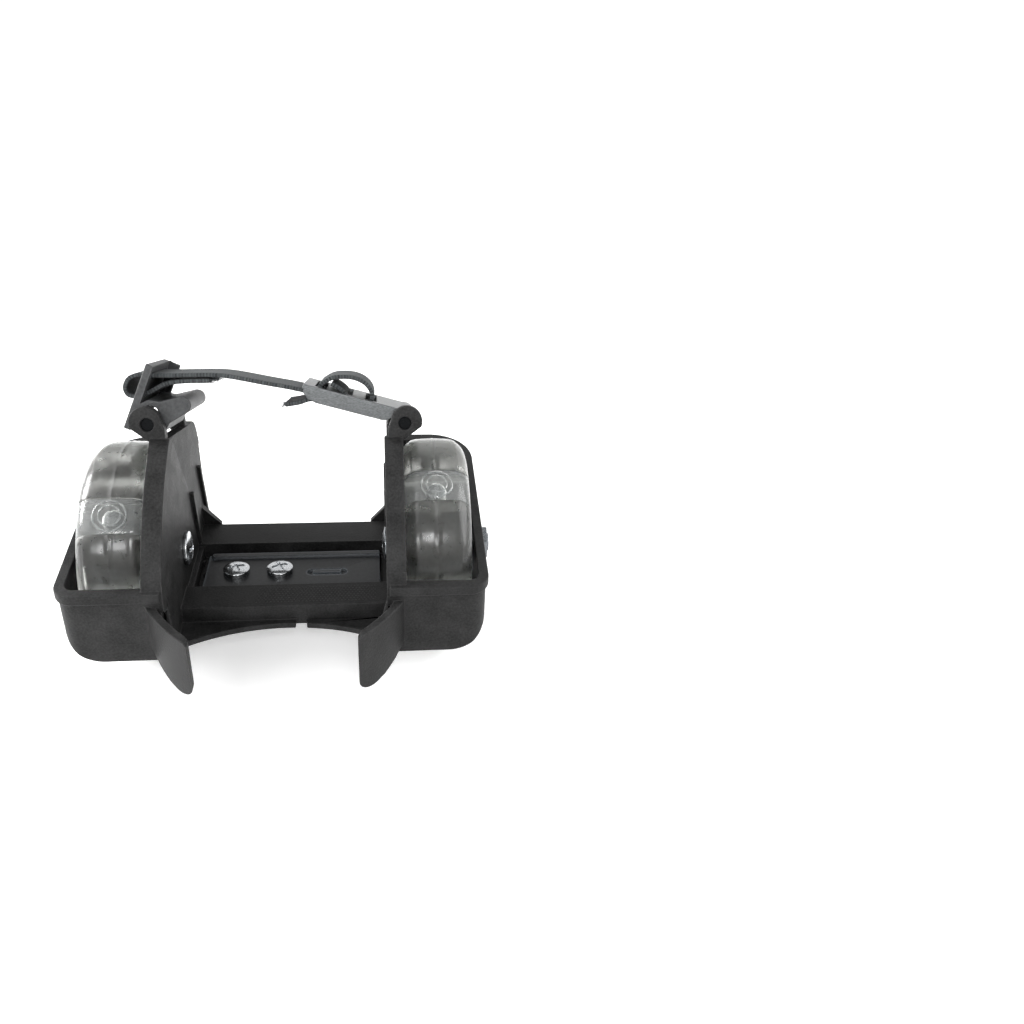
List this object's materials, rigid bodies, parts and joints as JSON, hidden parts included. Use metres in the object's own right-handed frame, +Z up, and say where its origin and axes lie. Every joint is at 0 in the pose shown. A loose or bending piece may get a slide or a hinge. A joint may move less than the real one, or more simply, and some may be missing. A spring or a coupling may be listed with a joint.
{
  "type": "heel roller skate",
  "caption": "Strap-on heel roller skate with clear light-up wheels in guarded side frames, a clamped width-adjusting heel platform, heel stops and a hooked over-foot webbing strap.",
  "frame": {"origin": "middle of the bounding box at the ground under the wheels", "axes": "+X along the axle to the wearer's side with the strap adjuster, +Y toward the toe, +Z up from the ground"},
  "size_m": [0.1316, 0.097, 0.0964],
  "materials": {
    "frame_plastic": "fine moulded grain",
    "lock_plastic": "smooth",
    "bright_zinc": "bright plated",
    "wheel_pu": "clear smoky polyurethane",
    "window_clear": "clear",
    "led_lens": "clear domed",
    "core_plastic": "satin",
    "bearing_steel": "ground",
    "magnet_dark": "sintered",
    "pin_dark": "blackened",
    "clip_plastic": "satin",
    "webbing": "woven",
    "adjuster_grey": "satin"
  },
  "bodies": {
    "base": {"left_frame": "frame_plastic", "lock_plate": "lock_plastic", "clamp_screws": "bright_zinc", "clamp_nuts": "bearing_steel", "left_bearing_inners": "bearing_steel", "left_axle_sleeve": "bearing_steel", "left_magnet": "magnet_dark", "left_axle_washers": "bearing_steel", "left_axle_bolt": "bright_zinc", "left_axle_nut": "bright_zinc", "left_strap_pin": "pin_dark"},
    "left_wheel": {"left_tyre": "wheel_pu", "left_core": "core_plastic", "left_windows": "window_clear", "left_leds": "led_lens", "left_bearing_outers": "bearing_steel"},
    "right_half": {"right_frame": "frame_plastic", "right_bearing_inners": "bearing_steel", "right_axle_sleeve": "bearing_steel", "right_magnet": "magnet_dark", "right_axle_washers": "bearing_steel", "right_axle_bolt": "bright_zinc", "right_axle_nut": "bright_zinc", "right_strap_pin": "pin_dark"},
    "right_wheel": {"right_tyre": "wheel_pu", "right_core": "core_plastic", "right_windows": "window_clear", "right_leds": "led_lens", "right_bearing_outers": "bearing_steel"},
    "adjuster_link": {"adjuster": "adjuster_grey", "strap_loop": "webbing"},
    "strap": {"strap_run": "webbing", "strap_clip": "clip_plastic"}
  },
  "joints": [
    {"name": "left_wheel_spin", "type": "hinge", "parent": "base", "child": "left_wheel", "pos_m": [-0.0474, 0.00714, 0.035], "axis": [1, 0, 0], "continuous": true},
    {"name": "width_slide", "type": "slide", "parent": "base", "child": "right_half", "axis": [1, 0, 0], "range_m": [0, 0.012]},
    {"name": "right_wheel_spin", "type": "hinge", "parent": "right_half", "child": "right_wheel", "pos_m": [0.0474, 0.00714, 0.035], "axis": [1, 0, 0], "continuous": true},
    {"name": "strap_hinge", "type": "hinge", "parent": "right_half", "child": "adjuster_link", "pos_m": [0.0382, 0.02004, 0.07525], "axis": [0, 0.9455, -0.3256], "range_deg": [0, 120]},
    {"name": "strap_let_out", "type": "slide", "parent": "adjuster_link", "child": "strap", "axis": [-1, 0, 0], "range_m": [0, 0.012]}
  ],
  "couplings": [
    {"joint": "strap_let_out", "follows": "width_slide", "ratio": 1}
  ]
}
